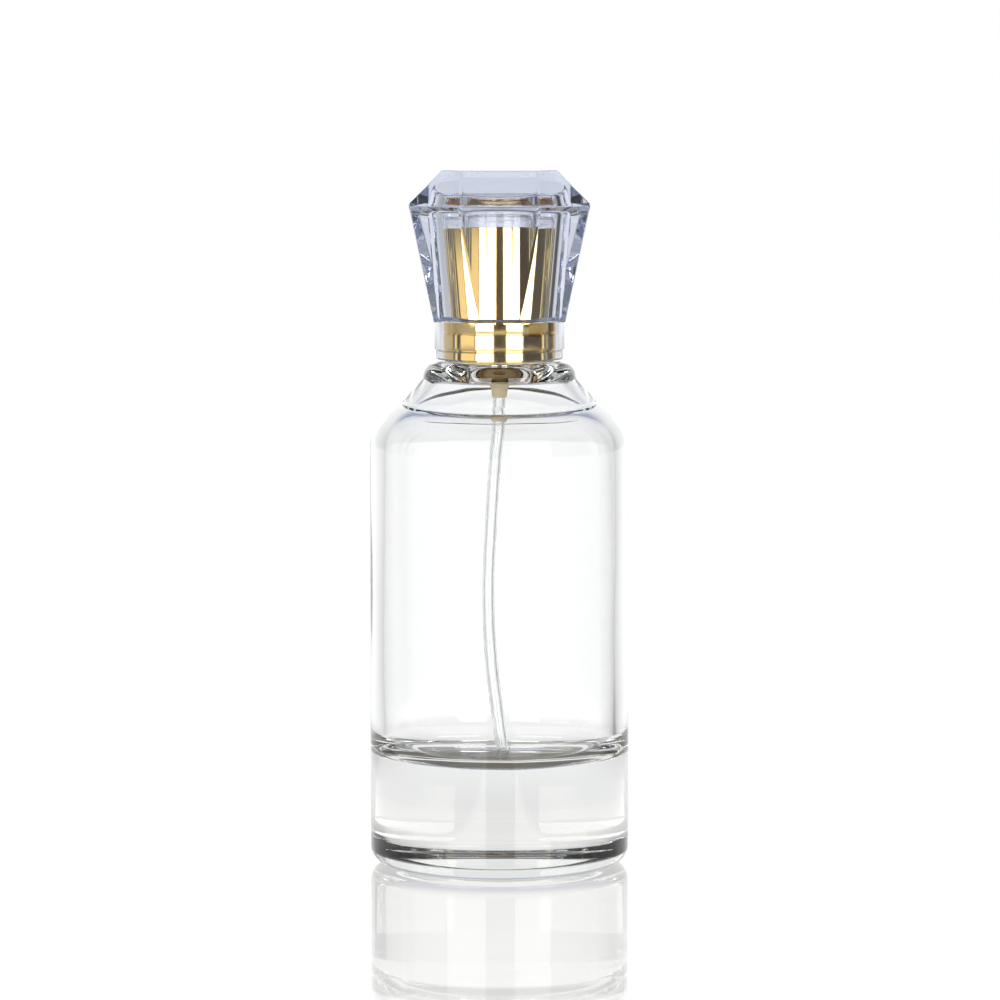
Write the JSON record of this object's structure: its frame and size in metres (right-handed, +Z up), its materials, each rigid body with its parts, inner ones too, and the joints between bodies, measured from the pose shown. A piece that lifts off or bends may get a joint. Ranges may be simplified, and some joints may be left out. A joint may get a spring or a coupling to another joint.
{
  "type": "perfume bottle",
  "caption": "Round clear-glass spray bottle with a thick base, a gold collar and actuator on a crimped pump, a dip tube and a faceted clear cap that lifts off.",
  "frame": {"origin": "centre of the resting ring, on the bottle's axis", "axes": "+Z up along the bottle's axis; the spray hole faces -Y; +X to the right seen from the front"},
  "size_m": [0.04, 0.04, 0.1073],
  "materials": {
    "clear_glass": "clear flint glass",
    "clear_acrylic": "clear polished acrylic, faint lavender",
    "gold_aluminium": "bright gold anodised",
    "raw_aluminium": "drawn",
    "natural_plastic": "natural translucent polypropylene",
    "pump_plastic": "natural moulded",
    "white_plastic": "moulded",
    "seal_rubber": "moulded",
    "spring_steel": "drawn wire"
  },
  "bodies": {
    "bottle": {"bottle": "clear_glass", "neck_gasket": "seal_rubber", "pump_housing": "pump_plastic", "pump_turret": "white_plastic", "stem_seal": "seal_rubber", "ferrule": "raw_aluminium", "collar": "gold_aluminium", "collar_insert": "white_plastic", "dip_tube": "natural_plastic", "return_spring": "spring_steel"},
    "ball": {"inlet_ball": "spring_steel"},
    "stem": {"upper_stem": "white_plastic", "lower_stem": "white_plastic"},
    "piston": {"piston": "natural_plastic"},
    "actuator": {"actuator_shell": "gold_aluminium", "actuator_core": "white_plastic", "nozzle_insert": "white_plastic"},
    "cap": {"cap_shell": "clear_acrylic", "cap_sleeve": "gold_aluminium", "cap_liner": "natural_plastic"}
  },
  "joints": [
    {"name": "cap_lift", "type": "slide", "parent": "bottle", "child": "cap", "axis": [0, 0, 1], "range_m": [0, 0.03]},
    {"name": "stem_press", "type": "slide", "parent": "bottle", "child": "stem", "axis": [0, 0, -1], "range_m": [0, 0.0028], "stiffness_N_per_m": 600, "springref_m": -0.008, "deforming": ["return_spring"]},
    {"name": "actuator_turn", "type": "hinge", "parent": "stem", "child": "actuator", "pos_m": [0, 0, 0.0932], "axis": [0, 0, 1], "continuous": true},
    {"name": "piston_slip", "type": "slide", "parent": "stem", "child": "piston", "axis": [0, 0, 1], "range_m": [0, 0.00035]},
    {"name": "ball_lift", "type": "slide", "parent": "bottle", "child": "ball", "axis": [0, 0, 1], "range_m": [0, 0.0006]}
  ]
}
